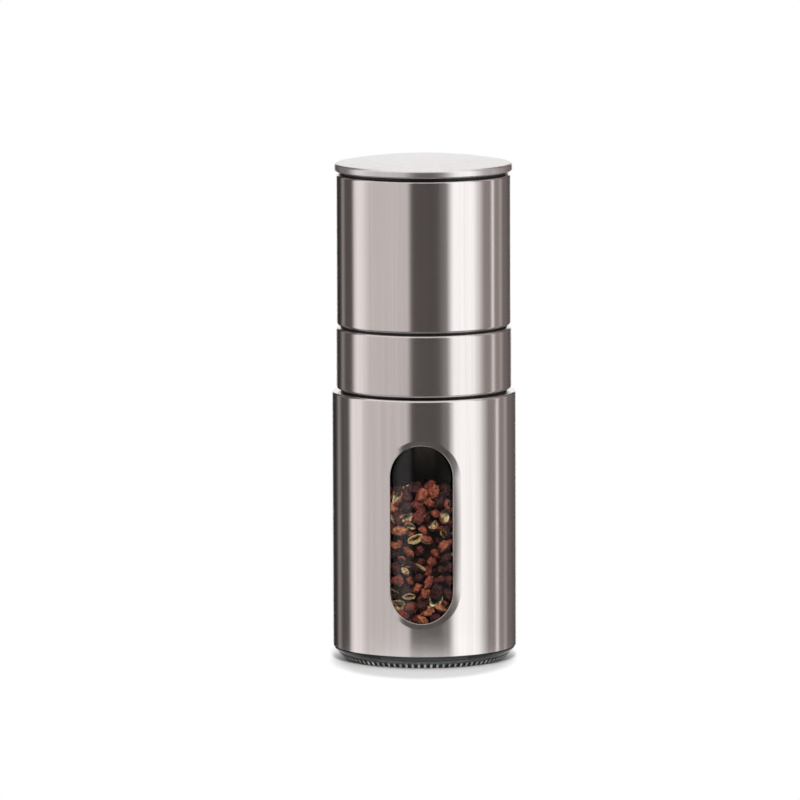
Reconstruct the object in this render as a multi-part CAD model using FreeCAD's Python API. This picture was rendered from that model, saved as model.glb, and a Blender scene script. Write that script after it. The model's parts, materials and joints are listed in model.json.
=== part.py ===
import FreeCAD, Part
import math
import os

# Manual pepper mill: a glass jar in a windowed steel sleeve, a steel collar that screws on the
# jar's neck, and a steel head that turns on the collar round a ceramic burr set. A domed lid
# plugs the mouth of the head. Millimetres, +Z up. The origin is the centre of the ring that
# the jar stands on, and the window faces -Y.

Vector = FreeCAD.Vector
UP = Vector(0, 0, 1)
AXIS = Vector(0, 0, 0)

# Steel outside, from the bottom up
sleeve_diameter = 51.5
sleeve_height = 71.6
sleeve_wall = 0.6
collar_proud = 0.15
collar_height = 17.3
collar_wall = 0.6
head_height = 42.3
head_wall = 0.6
lid_diameter = 49.5
lid_overhang = 0.4
lid_rim_height = 2.5
lid_dome_height = 1.9
lid_wall = 0.5
lid_shoulder_radius = 0.7
seam_gap = 0.6
lid_gap = 0.8
edge_radius = 0.8
turned_lip = 1.2

# Diameters that line up with the lid
head_diameter = lid_diameter - 2 * lid_overhang
collar_diameter = head_diameter + 2 * collar_proud

# Window in the sleeve, with its pressed-in lip
window_width = 17.4
window_height = 49.8
window_above_edge = 9.2
window_lip_side = 1.9
window_lip_end = 1.0
lip_glass_clearance = 0.5
lip_root_width = 0.6
lip_root_depth = 0.05
window_arc_points = 9

# Glass jar
foot_height = 3.7
foot_inset = 0.4
heel_width = 2.75
heel_height = 2.9
heel_radius = 1.4
heel_edge_radius = 0.8
bearing_width = 3.0
punt_height = 1.8
punt_radius = 0.8
glass_floor = 4.8
glass_wall = 2.4
jar_fit = 1.0
shoulder_radius = 2.1
shoulder_clearance = 0.3
sleeve_flange_clearance = 0.3
neck_wall = 2.4
neck_height = 12.5
neck_lip_radius = 0.8
thread_depth = 1.0
thread_clearance = 0.5
jar_inside_radius = 3.0

# Peppercorns lying in the jar
fill_height = 42.5
fill_mound = 3.0
fill_clearance = 0.3

# Collar: seal, liner, bridge and swivel
gasket_thickness = 1.2
gasket_inset = 0.2
skin_fit = 0.1
liner_wall = 2.3
liner_seat_gap = 0.2
liner_recess = 0.2
bridge_opening_inset = 0.6
spoke_count = 3
spoke_width = 3.4
spoke_height = 3.0
boss_diameter = 11.0
boss_drop = 1.6
boss_rise = 3.8
swivel_ledge = 0.8
swivel_clearance = 0.3
spigot_wall = 2.4
snap_ring_thickness = 1.0
snap_ring_clearance = 0.3
snap_groove_depth = 0.9
snap_ring_split = 3.0
spigot_cap = 0.6
burr_holder_clearance = 0.6

# Drive shaft, spring and adjuster
shaft_side = 5.2
shaft_fit = 0.1
shaft_head_diameter = 8.8
shaft_head_thickness = 1.2
stem_diameter = 5.0
stem_tip = 0.8
spring_wire = 0.9
spring_mean_diameter = 9.6
spring_turns = 4
thrust_washer_diameter = 12.4
thrust_washer_thickness = 0.8
adjust_travel = 1.0
knob_diameter = 17.0
knob_height = 5.8
knob_flutes = 12
knob_flute_radius = 1.6
knob_recess_depth = 1.0
knob_recess_diameter = 11.0
knob_pointer_width = 1.4
nut_flats = 8.0
nut_height = 3.2
nut_inset = 0.6
clip_diameter = 8.4
clip_thickness = 0.6
clip_gap = 0.4
clip_groove_depth = 0.5

# Ceramic burrs
burr_height = 12.0
outer_burr_wall = 3.6
outer_burr_flare = 2.0
inner_burr_height = 12.8
inner_burr_inlet = 16.4
grind_gap = 0.5
burr_edge = 0.4
carrier_flats = 10.6
carrier_flange_thickness = 0.8
carrier_flange_diameter = 14.6
carrier_rise = 0.8
flute_count = 10
flute_width = 3.4
flute_depth = 1.5
flute_twist = 26.0
fine_count = 36
fine_width = 1.1
fine_depth = 0.6
fine_twist = 8.0
fine_share = 0.36
outer_flute_count = 12

# Head: housing, burr holder, lock ring and mouth
housing_wall = 1.8
housing_step = 0.5
housing_floor = 2.2
holder_floor = 1.8
holder_wall = 1.8
holder_fit = 0.1
holder_mouth_gap = 0.25
holder_inlet_margin = 0.8
lock_ring_thickness = 1.6
lock_ring_width = 2.7
lock_notch_count = 4
lock_notch_width = 3.0
lock_notch_depth = 1.2
mouth_wall = 2.1
mouth_lip_gap = 0.2

# Lid plug and its seal
lid_reveal = 0.2
plug_clearance = 0.3
plug_depth = 5.2
plug_wall = 1.7
plug_floor = 1.5
plug_flange_thickness = 1.4
plug_flange_fit = 0.2
seal_height = 1.6
seal_depth = 0.7
seal_proud = 0.15
seal_above_floor = 1.8

# Heights that follow from the sizes above
sleeve_top = foot_height + sleeve_height
collar_bottom = sleeve_top + seam_gap
collar_top = collar_bottom + collar_height
head_bottom = collar_top + seam_gap
head_top = head_bottom + head_height
lid_bottom = head_top + lid_gap
lid_rim_top = lid_bottom + lid_rim_height
lid_top = lid_rim_top + lid_dome_height
shoulder_top = sleeve_top - sleeve_wall - shoulder_clearance
neck_top = shoulder_top + neck_height
bridge_bottom = neck_top + gasket_thickness
liner_top = collar_top - liner_recess
boss_bottom = bridge_bottom - boss_drop
boss_top = bridge_bottom + boss_rise
housing_bottom = head_bottom + head_wall
snap_ring_bottom = housing_bottom + housing_floor + snap_ring_clearance
snap_ring_top = snap_ring_bottom + snap_ring_thickness
spigot_top = snap_ring_top + spigot_cap
holder_bottom = spigot_top + burr_holder_clearance
outer_burr_bottom = holder_bottom + holder_floor
burr_top = outer_burr_bottom + burr_height
inner_burr_bottom = burr_top - inner_burr_height
carrier_bottom = inner_burr_bottom - carrier_flange_thickness
spring_top = carrier_bottom - thrust_washer_thickness
square_top = burr_top - adjust_travel - clip_gap
knob_bottom = burr_top + carrier_rise
knob_top = knob_bottom + knob_height
clip_bottom = knob_top + adjust_travel + clip_gap
clip_top = clip_bottom + clip_thickness
lock_ring_top = burr_top + lock_ring_thickness
housing_top = head_top - head_wall
lid_seat = lid_bottom - lid_reveal
plug_bottom = lid_seat - plug_depth

# Radii that follow from the sizes above
sleeve_radius = sleeve_diameter / 2
sleeve_bore_radius = sleeve_radius - sleeve_wall
jar_radius = sleeve_bore_radius - jar_fit
foot_radius = sleeve_radius - foot_inset
bearing_radius = foot_radius - heel_width
jar_inner_radius = jar_radius - glass_wall
lid_radius = lid_diameter / 2
head_radius = head_diameter / 2
head_lip_radius = head_radius - turned_lip
collar_radius = collar_diameter / 2
collar_lip_radius = collar_radius - turned_lip
liner_radius = collar_radius - collar_wall - skin_fit
liner_step_radius = collar_lip_radius - skin_fit
liner_bore_radius = liner_step_radius - liner_wall
thread_radius = liner_bore_radius - thread_clearance
neck_radius = thread_radius - thread_depth
neck_bore = 2 * (neck_radius - neck_wall)
neck_bore_radius = neck_bore / 2
bridge_opening_radius = neck_bore_radius - bridge_opening_inset
housing_radius = head_radius - head_wall - skin_fit
housing_bore_radius = housing_radius - housing_wall
housing_upper_radius = housing_bore_radius + housing_step
swivel_bore_radius = housing_bore_radius - swivel_ledge
spigot_radius = swivel_bore_radius - swivel_clearance
spigot_inner_radius = spigot_radius - spigot_wall
snap_groove_radius = spigot_radius - snap_groove_depth
holder_radius = housing_upper_radius - holder_fit
mouth_radius = housing_upper_radius - holder_fit
mouth_bore_radius = mouth_radius - mouth_wall
holder_cup_radius = mouth_bore_radius - holder_mouth_gap
holder_pocket_radius = holder_cup_radius - holder_wall
outer_burr_diameter = 2 * (holder_pocket_radius - holder_fit)
outer_burr_outlet = outer_burr_diameter - 2 * outer_burr_wall
outer_burr_inlet = outer_burr_outlet - 2 * outer_burr_flare
outer_burr_radius = outer_burr_diameter / 2
inner_burr_top_radius = outer_burr_outlet / 2 - grind_gap
plug_radius = mouth_bore_radius - plug_clearance
stem_radius = stem_diameter / 2


def limited_rounding(before, here, after, rounding):
    """Start, middle and end of the arc that rounds a corner, kept within its two sides."""
    back = before - here
    ahead = after - here
    half_angle = back.getAngle(ahead) / 2
    reach = min(rounding / math.tan(half_angle), 0.45 * min(back.Length, ahead.Length))
    back.normalize()
    ahead.normalize()
    radius = reach * math.tan(half_angle)
    bisector = (back + ahead).normalize()
    middle = here + bisector * (radius / math.sin(half_angle) - radius)
    return here + back * reach, middle, here + ahead * reach


def closed_outline(corners):
    """Closed wire in the XZ plane. A corner is (x, z), or (x, z, rounding) for a rounded one."""
    points = [Vector(corner[0], 0, corner[1]) for corner in corners]
    bends = []
    for index, corner in enumerate(corners):
        here = points[index]
        if len(corner) > 2:
            after = points[(index + 1) % len(points)]
            bends.append(limited_rounding(points[index - 1], here, after, corner[2]))
        else:
            bends.append((here, None, here))
    edges = []
    for index, (start, middle, end) in enumerate(bends):
        if middle is not None:
            edges.append(Part.Arc(start, middle, end).toShape())
        next_start = bends[(index + 1) % len(bends)][0]
        edges.append(Part.LineSegment(end, next_start).toShape())
    return Part.Wire(edges)


def lathe(corners):
    """Solid of revolution about Z from the corners of its half section."""
    return Part.Face(closed_outline(corners)).revolve(AXIS, UP, 360)


def ring(inner, outer, bottom, top, rounding=0.0):
    """Ring about Z, with its outer edges rounded where a rounding is given."""
    if rounding:
        return lathe([(inner, bottom), (outer, bottom, rounding), (outer, top, rounding), (inner, top)])
    return lathe([(inner, bottom), (outer, bottom), (outer, top), (inner, top)])


def disc(radius, bottom, top):
    """Plain cylinder about Z."""
    return Part.makeCylinder(radius, top - bottom, Vector(0, 0, bottom))


def prism(sides, flats, bottom, top):
    """Upright prism about Z with that many sides, measured across its flats."""
    corner_radius = flats / 2 / math.cos(math.pi / sides)
    corners = []
    for index in range(sides + 1):
        angle = (index + 0.5) * 2 * math.pi / sides
        corners.append(Vector(corner_radius * math.cos(angle), corner_radius * math.sin(angle), bottom))
    return Part.Face(Part.makePolygon(corners)).extrude(UP * (top - bottom))


def box_along_x(start, end, width, bottom, top):
    """Block from start to end along X, centred on Y."""
    return Part.makeBox(end - start, width, top - bottom, Vector(start, -width / 2, bottom))


def around(shape, count, first=0.0):
    """Copies of a shape, evenly spaced about Z."""
    copies = []
    for index in range(count):
        copy = shape.copy()
        copy.rotate(AXIS, UP, first + index * 360.0 / count)
        copies.append(copy)
    return copies


def turned_shell(radius, wall, bottom, top, bottom_lip, top_lip):
    """Sheet tube whose ends are turned inwards with a rounded edge, down to the two lip radii."""
    inner_edge = edge_radius - wall
    bore = radius - wall
    return lathe([
        (bottom_lip, bottom),
        (radius, bottom, edge_radius),
        (radius, top, edge_radius),
        (top_lip, top),
        (top_lip, top - wall),
        (bore, top - wall, inner_edge),
        (bore, bottom + wall, inner_edge),
        (bottom_lip, bottom + wall),
    ])


def domed_disc(radius, bottom, rim_top, top, shoulder):
    """Solid disc with an upright rim and a shallow dome, rounded where they meet."""
    rise = top - rim_top
    sphere_radius = (radius ** 2 + rise ** 2) / (2 * rise)
    blank = disc(radius, bottom, top)
    solid = blank.common(Part.makeSphere(sphere_radius, Vector(0, 0, top - sphere_radius)))
    level = [edge for edge in solid.Edges if not edge.Degenerated and edge.BoundBox.ZLength < 0.001 * rise]
    rim_edges = [edge for edge in level if abs(edge.BoundBox.ZMin - rim_top) < 0.001 * rise]
    return solid.makeFillet(shoulder, rim_edges)


def glass_jar():
    """Round jar: a tapered foot that carries the sleeve, a body inside it, a shoulder and a neck."""
    inner_shoulder = shoulder_top - glass_wall
    return lathe([
        (0, punt_height),
        (bearing_radius - bearing_width, punt_height, punt_radius),
        (bearing_radius - bearing_width, 0),
        (bearing_radius, 0, heel_radius),
        (foot_radius, heel_height, heel_edge_radius),
        (foot_radius, foot_height),
        (jar_radius, foot_height),
        (jar_radius, shoulder_top, shoulder_radius),
        (neck_radius, shoulder_top),
        (neck_radius, neck_top, neck_lip_radius),
        (neck_bore_radius, neck_top, neck_lip_radius),
        (neck_bore_radius, inner_shoulder),
        (jar_inner_radius, inner_shoulder, shoulder_radius),
        (jar_inner_radius, glass_floor, jar_inside_radius),
        (0, glass_floor),
    ])


def peppercorn_fill():
    """The heap of peppercorns in the jar, as one solid with a mounded top."""
    radius = jar_inner_radius - fill_clearance
    bottom = glass_floor + fill_clearance
    edge_top = bottom + fill_height
    return lathe([
        (0, bottom),
        (radius, bottom, jar_inside_radius),
        (radius, edge_top, jar_inside_radius),
        (0, edge_top + fill_mound),
    ])


def window_outline(side_grow, end_grow, place):
    """Four edges of the window's rounded-end outline, laid out by place(), with its sides and its
    ends moved out by two amounts."""
    half = window_width / 2 + side_grow
    lower = foot_height + window_above_edge - end_grow + half
    upper = foot_height + window_above_edge + window_height + end_grow - half

    def half_circle(height, start):
        points = []
        for index in range(window_arc_points):
            turn = start + math.pi * index / (window_arc_points - 1)
            points.append(place(half * math.cos(turn), height + half * math.sin(turn)))
        curve = Part.BSplineCurve()
        curve.interpolate(Points=points)
        return curve.toShape()

    return [
        Part.LineSegment(place(half, lower), place(half, upper)).toShape(),
        half_circle(upper, 0),
        Part.LineSegment(place(-half, upper), place(-half, lower)).toShape(),
        half_circle(lower, math.pi),
    ]


def on_cylinder(radius):
    """Lays an outline round the front of a cylinder, keeping arc lengths of the sleeve's outside."""
    def place(arc, height):
        angle = arc / sleeve_radius
        return Vector(radius * math.sin(angle), -radius * math.cos(angle), height)
    return place


def on_front_plane(arc, height):
    """Lays an outline on an upright plane in front of the sleeve."""
    return Vector(sleeve_radius * math.sin(arc / sleeve_radius), -2 * sleeve_radius, height)


def window_lip():
    """Lip round the window, pressed in towards the glass, with a root inside the sleeve's wall."""
    outside = sleeve_radius - lip_root_depth
    inside = sleeve_bore_radius + lip_root_depth
    inner_skin = jar_radius + lip_glass_clearance
    root_side = window_lip_side + lip_root_width
    root_end = window_lip_end + lip_root_width
    section = [
        (root_side, root_end, outside),
        (window_lip_side, window_lip_end, outside),
        (0, 0, inner_skin + sleeve_wall),
        (0, 0, inner_skin),
        (window_lip_side, window_lip_end, inside),
        (root_side, root_end, inside),
    ]
    rails = [window_outline(side, end, on_cylinder(radius)) for side, end, radius in section]
    faces = []
    for index, rail in enumerate(rails):
        next_rail = rails[(index + 1) % len(rails)]
        for edge, next_edge in zip(rail, next_rail):
            faces.append(Part.makeRuledSurface(edge, next_edge))
    shell = Part.Shell(faces)
    shell.sewShape()
    return Part.Solid(shell)


def steel_sleeve():
    """Drawn steel sleeve that stands on the jar's foot, with the lipped window in front."""
    flange_radius = liner_bore_radius + sleeve_flange_clearance
    inner_edge = edge_radius - sleeve_wall
    tube = lathe([
        (sleeve_bore_radius, foot_height),
        (sleeve_radius, foot_height),
        (sleeve_radius, sleeve_top, edge_radius),
        (flange_radius, sleeve_top),
        (flange_radius, sleeve_top - sleeve_wall),
        (sleeve_bore_radius, sleeve_top - sleeve_wall, inner_edge),
    ])
    outline = window_outline(window_lip_side, window_lip_end, on_front_plane)
    hole = Part.Face(Part.Wire(outline)).extrude(Vector(0, 2 * sleeve_radius, 0))
    return tube.cut(hole).fuse(window_lip())


def neck_gasket():
    """Soft flat seal between the jar's rim and the collar."""
    inner = neck_bore_radius + gasket_inset
    outer = neck_radius - gasket_inset
    return ring(inner, outer, neck_top, bridge_bottom, gasket_thickness / 4)


def collar_ring():
    """Brushed steel skin of the collar."""
    return turned_shell(
        collar_radius, collar_wall, collar_bottom, collar_top, collar_lip_radius, collar_lip_radius
    )


def collar_liner():
    """Moulded liner that screws on the neck, with the bridge for the shaft and the swivel spigot."""
    body = lathe([
        (liner_bore_radius, sleeve_top + liner_seat_gap),
        (liner_step_radius, sleeve_top + liner_seat_gap),
        (liner_step_radius, collar_bottom + collar_wall),
        (liner_radius, collar_bottom + collar_wall, edge_radius),
        (liner_radius, collar_top - collar_wall, edge_radius),
        (liner_step_radius, collar_top - collar_wall),
        (liner_step_radius, liner_top),
        (spigot_radius, liner_top),
        (spigot_radius, snap_ring_bottom),
        (snap_groove_radius, snap_ring_bottom),
        (snap_groove_radius, snap_ring_top),
        (spigot_radius, snap_ring_top),
        (spigot_radius, spigot_top),
        (spigot_inner_radius, spigot_top),
        (spigot_inner_radius, bridge_bottom + spoke_height),
        (bridge_opening_radius, bridge_bottom + spoke_height),
        (bridge_opening_radius, bridge_bottom),
        (liner_bore_radius, bridge_bottom),
    ])
    reach = bridge_opening_radius + (spigot_inner_radius - bridge_opening_radius) / 2
    spoke = box_along_x(0, reach, spoke_width, bridge_bottom, bridge_bottom + spoke_height)
    boss = disc(boss_diameter / 2, boss_bottom, boss_top)
    keyway = prism(4, shaft_side + 2 * shaft_fit, boss_bottom - boss_drop, boss_top + boss_rise)
    return body.fuse([boss] + around(spoke, spoke_count, 90)).cut(keyway).removeSplitter()


def glide_washer():
    """Slippery washer that the turning head rides on."""
    inner = spigot_radius + swivel_clearance / 2
    return ring(inner, head_lip_radius - swivel_clearance, liner_top, housing_bottom)


def snap_ring():
    """Split ring in the spigot's groove, which holds the head down on the collar."""
    outer = housing_bore_radius - swivel_clearance
    whole = ring(snap_groove_radius + skin_fit, outer, snap_ring_bottom, snap_ring_top)
    split = box_along_x(0, housing_radius, snap_ring_split, snap_ring_bottom, snap_ring_top)
    return whole.cut(split)


def drive_shaft():
    """Square steel shaft with a flat head below the bridge and a threaded stem on top."""
    head = disc(shaft_head_diameter / 2, boss_bottom - shaft_head_thickness, boss_bottom)
    square = prism(4, shaft_side, boss_bottom, square_top)
    stem = lathe([
        (0, square_top),
        (stem_radius, square_top),
        (stem_radius, clip_bottom),
        (stem_radius - clip_groove_depth, clip_bottom),
        (stem_radius - clip_groove_depth, clip_top),
        (stem_radius, clip_top),
        (stem_radius, clip_top + stem_tip, stem_tip / 2),
        (0, clip_top + stem_tip),
    ])
    return head.fuse([square, stem]).removeSplitter()


def biarc(start, start_tangent, end, end_tangent):
    """Two arcs that join two points and meet both of their unit tangents."""
    span = end - start
    tangents = start_tangent + end_tangent
    spread = 2 * (1 - start_tangent.dot(end_tangent))
    along = span.dot(tangents)
    length = (math.sqrt(along ** 2 + spread * span.dot(span)) - along) / spread
    joint = (start + start_tangent * length + end - end_tangent * length) / 2

    def arc(first, tangent, last):
        chord = last - first
        across = chord - tangent * chord.dot(tangent)
        across.normalize()
        radius = chord.dot(chord) / (2 * chord.dot(across))
        centre = first + across * radius
        middle = centre + ((first + last) / 2 - centre).normalize() * radius
        return Part.Arc(first, middle, last).toShape()

    return [arc(start, start_tangent, joint), arc(end, end_tangent * -1, joint)]


def burr_spring():
    """Compression spring that lifts the inner burr off the bridge."""
    bottom = boss_top + spring_wire / 2
    rise = (spring_top - boss_top - spring_wire) / spring_turns
    mean_radius = spring_mean_diameter / 2

    def place(turn):
        angle = 2 * math.pi * turn
        return Vector(mean_radius * math.cos(angle), mean_radius * math.sin(angle), bottom + rise * turn)

    def tangent(turn):
        angle = 2 * math.pi * turn
        run = 2 * math.pi * mean_radius
        return Vector(-run * math.sin(angle), run * math.cos(angle), rise).normalize()

    edges = []
    steps = 4 * spring_turns
    for step in range(steps):
        first, last = step / 4, (step + 1) / 4
        edges.extend(biarc(place(first), tangent(first), place(last), tangent(last)))
    path = Part.Wire(Part.__sortEdges__(edges))
    section = Part.Wire(Part.makeCircle(spring_wire / 2, place(0), tangent(0)))
    print("burr_spring gap between turns", round(rise - spring_wire, 3))
    return path.makePipeShell([section], True, False)


def thrust_washer():
    """Steel washer between the spring and the burr carrier."""
    return ring(
        shaft_side / math.sqrt(2) + shaft_fit, thrust_washer_diameter / 2, spring_top, carrier_bottom
    )


def burr_carrier():
    """Hexagonal hub that keys the inner burr to the square shaft and slides on it."""
    flange = disc(carrier_flange_diameter / 2, carrier_bottom, inner_burr_bottom)
    hub = prism(6, carrier_flats, inner_burr_bottom, knob_bottom)
    keyway = prism(4, shaft_side + 2 * shaft_fit, carrier_bottom, burr_top)
    stem_hole = disc(stem_radius + shaft_fit, burr_top, knob_bottom)
    return flange.fuse(hub).cut([keyway, stem_hole]).removeSplitter()


def tooth_groove(low_radius, low, high_radius, high, twist, width, depth, into):
    """Saw-tooth cutter along a cone. It cuts towards the axis for into = -1, away from it for 1."""
    turn = math.radians(twist)
    start = Vector(low_radius, 0, low)
    end = Vector(high_radius * math.cos(turn), high_radius * math.sin(turn), high)
    run = end - start
    direction = Vector(run).normalize()
    middle = (start + end) / 2
    inwards = Vector(middle.x, middle.y, 0).normalize() * into
    inwards = (inwards - direction * inwards.dot(direction)).normalize()
    side = direction.cross(inwards)
    back = start - run * 0.1 - inwards * depth
    corners = [back - side * width, back + side * width, back + side * (width / 4) + inwards * (2 * depth)]
    return Part.Face(Part.makePolygon(corners + corners[:1])).extrude(run * 1.2)


def inner_burr():
    """Ceramic cone with coarse feed flutes below and fine teeth above, on the hexagonal carrier."""
    inlet_radius = inner_burr_inlet / 2
    fine_bottom = burr_top - fine_share * inner_burr_height
    fine_radius = inner_burr_top_radius - fine_share * (inner_burr_top_radius - inlet_radius)
    cone = lathe([
        (0, inner_burr_bottom),
        (inlet_radius, inner_burr_bottom, burr_edge),
        (inner_burr_top_radius, burr_top, burr_edge),
        (0, burr_top),
    ])
    flute = tooth_groove(
        inlet_radius, inner_burr_bottom, fine_radius, fine_bottom,
        flute_twist, flute_width / 2, flute_depth, -1,
    )
    tooth = tooth_groove(
        fine_radius, fine_bottom, inner_burr_top_radius, burr_top,
        fine_twist, fine_width / 2, fine_depth, -1,
    )
    keyway = prism(6, carrier_flats + 2 * shaft_fit, inner_burr_bottom, burr_top)
    cutters = around(flute, flute_count) + around(tooth, fine_count)
    return cone.cut(keyway).cut(cutters)


def outer_burr():
    """Ceramic ring with matching flutes and teeth inside, fixed in the head."""
    inlet_radius = outer_burr_inlet / 2
    outlet_radius = outer_burr_outlet / 2
    fine_bottom = burr_top - fine_share * burr_height
    fine_radius = outlet_radius - fine_share * (outlet_radius - inlet_radius)
    body = lathe([
        (inlet_radius, outer_burr_bottom),
        (outer_burr_radius, outer_burr_bottom, burr_edge),
        (outer_burr_radius, burr_top, burr_edge),
        (outlet_radius, burr_top),
    ])
    flute = tooth_groove(
        inlet_radius, outer_burr_bottom, fine_radius, fine_bottom,
        -flute_twist, flute_width / 2, flute_depth, 1,
    )
    tooth = tooth_groove(
        fine_radius, fine_bottom, outlet_radius, burr_top,
        -fine_twist, fine_width / 2, fine_depth, 1,
    )
    return body.cut(around(flute, outer_flute_count) + around(tooth, fine_count))


def adjust_knob():
    """Fluted knob that screws along the stem and sets how coarse the mill grinds."""
    radius = knob_diameter / 2
    recess_radius = knob_recess_diameter / 2
    recess_bottom = knob_top - knob_recess_depth
    body = lathe([
        (stem_radius + shaft_fit, knob_bottom),
        (radius, knob_bottom, edge_radius / 2),
        (radius, knob_top, edge_radius),
        (recess_radius, knob_top),
        (recess_radius, recess_bottom),
        (stem_radius + shaft_fit, recess_bottom),
    ])
    flute = disc(knob_flute_radius, knob_bottom, knob_top)
    flute.translate(Vector(radius + knob_flute_radius / 2, 0, 0))
    pocket_bottom = knob_bottom + nut_inset
    pocket = prism(6, nut_flats + 2 * shaft_fit, pocket_bottom, pocket_bottom + nut_height)
    pointer = box_along_x(nut_flats / 2, recess_radius, knob_pointer_width, recess_bottom, knob_top)
    return body.fuse(pointer).cut(around(flute, knob_flutes) + [pocket]).removeSplitter()


def knob_nut():
    """Brass nut moulded into the knob."""
    bottom = knob_bottom + nut_inset
    nut = prism(6, nut_flats, bottom, bottom + nut_height)
    return nut.cut(disc(stem_radius + shaft_fit, bottom, bottom + nut_height))


def shaft_clip():
    """Spring clip in the stem's groove, which stops the knob from coming off."""
    groove_radius = stem_radius - clip_groove_depth + shaft_fit
    whole = ring(groove_radius, clip_diameter / 2, clip_bottom, clip_top)
    slot = box_along_x(0, clip_diameter, 2 * (groove_radius - shaft_fit), clip_bottom, clip_top)
    return whole.cut(slot)


def head_shell():
    """Polished steel skin of the head, the part that the hand turns."""
    return turned_shell(head_radius, head_wall, head_bottom, head_top, head_lip_radius, head_lip_radius)


def head_housing():
    """Moulded housing inside the head shell, which turns on the spigot."""
    return lathe([
        (swivel_bore_radius, housing_bottom),
        (housing_radius, housing_bottom, edge_radius),
        (housing_radius, housing_top, edge_radius),
        (housing_upper_radius, housing_top),
        (housing_upper_radius, holder_bottom),
        (housing_bore_radius, holder_bottom),
        (housing_bore_radius, housing_bottom + housing_floor),
        (swivel_bore_radius, housing_bottom + housing_floor),
    ])


def burr_holder():
    """Cup that stands on the housing's step and carries the outer burr."""
    inlet_radius = outer_burr_inlet / 2 + holder_inlet_margin
    return lathe([
        (inlet_radius, holder_bottom),
        (holder_radius, holder_bottom),
        (holder_radius, outer_burr_bottom),
        (holder_cup_radius, outer_burr_bottom),
        (holder_cup_radius, lock_ring_top),
        (holder_pocket_radius, lock_ring_top),
        (holder_pocket_radius, outer_burr_bottom),
        (inlet_radius, outer_burr_bottom),
    ])


def burr_lock_ring():
    """Notched ring that locks the outer burr in its holder."""
    outer = holder_pocket_radius - holder_fit
    inner = outer - lock_ring_width
    whole = ring(inner, outer, burr_top, lock_ring_top)
    notch_end = inner + lock_notch_depth
    notch = box_along_x(0, notch_end, lock_notch_width, burr_top, lock_ring_top)
    return whole.cut(around(notch, lock_notch_count))


def mouth_ring():
    """Moulded mouth tube of the head. It clamps the burr holder, takes the lid's plug and shows
    as a dark line under the lid."""
    lip_radius = head_lip_radius - mouth_lip_gap
    return lathe([
        (mouth_bore_radius, outer_burr_bottom),
        (mouth_radius, outer_burr_bottom),
        (mouth_radius, housing_top),
        (lip_radius, housing_top),
        (lip_radius, lid_seat),
        (mouth_bore_radius, lid_seat),
    ])


def lid_cap():
    """Domed steel cap of the lid."""
    outside = domed_disc(lid_radius, lid_bottom, lid_rim_top, lid_top, lid_shoulder_radius)
    inside = domed_disc(
        lid_radius - lid_wall, lid_bottom - lid_rim_height, lid_rim_top - lid_wall,
        lid_top - lid_wall, lid_shoulder_radius - lid_wall,
    )
    return outside.cut(inside)


def lid_plug():
    """Moulded plug under the cap, a shallow cup that closes the mouth."""
    flange_radius = lid_radius - lid_wall - plug_flange_fit
    seal_bottom = plug_bottom + seal_above_floor
    groove_radius = plug_radius - seal_depth
    return lathe([
        (0, plug_bottom),
        (plug_radius, plug_bottom, edge_radius),
        (plug_radius, seal_bottom),
        (groove_radius, seal_bottom),
        (groove_radius, seal_bottom + seal_height),
        (plug_radius, seal_bottom + seal_height),
        (plug_radius, lid_seat),
        (flange_radius, lid_seat),
        (flange_radius, lid_seat + plug_flange_thickness),
        (plug_radius - plug_wall, lid_seat + plug_flange_thickness),
        (plug_radius - plug_wall, plug_bottom + plug_floor),
        (0, plug_bottom + plug_floor),
    ])


def lid_seal():
    """Soft ring in the plug's groove, which grips the mouth."""
    bottom = plug_bottom + seal_above_floor + skin_fit
    top = plug_bottom + seal_above_floor + seal_height - skin_fit
    outer = mouth_bore_radius - seal_proud
    return ring(plug_radius - seal_depth + skin_fit / 2, outer, bottom, top, seal_height / 3)


PIECES = [
    glass_jar, steel_sleeve, peppercorn_fill, neck_gasket,
    collar_ring, collar_liner, glide_washer, snap_ring,
    drive_shaft, burr_spring, shaft_clip,
    thrust_washer, burr_carrier, inner_burr, adjust_knob, knob_nut,
    head_shell, head_housing, burr_holder, outer_burr, burr_lock_ring, mouth_ring,
    lid_cap, lid_plug, lid_seal,
]

os.makedirs("parts", exist_ok=True)
for make in PIECES:
    piece = make()
    piece.exportStep(os.path.join("parts", make.__name__ + ".step"))
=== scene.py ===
import json
import math
import bpy
import numpy as np
from mathutils import Matrix, Quaternion, Vector


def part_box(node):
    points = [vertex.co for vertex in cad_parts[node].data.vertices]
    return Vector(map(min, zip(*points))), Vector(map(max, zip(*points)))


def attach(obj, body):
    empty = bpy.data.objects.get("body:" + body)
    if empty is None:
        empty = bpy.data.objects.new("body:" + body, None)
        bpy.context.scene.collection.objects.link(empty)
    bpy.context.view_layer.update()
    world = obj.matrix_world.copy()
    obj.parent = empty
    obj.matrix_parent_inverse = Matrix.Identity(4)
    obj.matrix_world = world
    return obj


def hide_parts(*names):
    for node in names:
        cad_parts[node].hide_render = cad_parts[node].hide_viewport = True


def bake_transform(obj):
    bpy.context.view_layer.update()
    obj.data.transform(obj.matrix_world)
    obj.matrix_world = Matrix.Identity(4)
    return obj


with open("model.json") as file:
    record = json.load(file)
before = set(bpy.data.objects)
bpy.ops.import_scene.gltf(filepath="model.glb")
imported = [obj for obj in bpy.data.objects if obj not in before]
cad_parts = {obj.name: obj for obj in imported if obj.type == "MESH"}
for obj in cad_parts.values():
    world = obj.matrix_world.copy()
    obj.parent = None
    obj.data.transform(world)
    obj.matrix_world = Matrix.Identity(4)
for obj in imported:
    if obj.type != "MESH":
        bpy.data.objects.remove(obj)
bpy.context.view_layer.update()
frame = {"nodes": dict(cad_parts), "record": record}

# Sizes are in millimetres, and MM turns them to metres. Angles are in degrees unless a comment differs.
MM = 0.001
sharp_angle = 50.0
tiny = 1e-6

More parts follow.
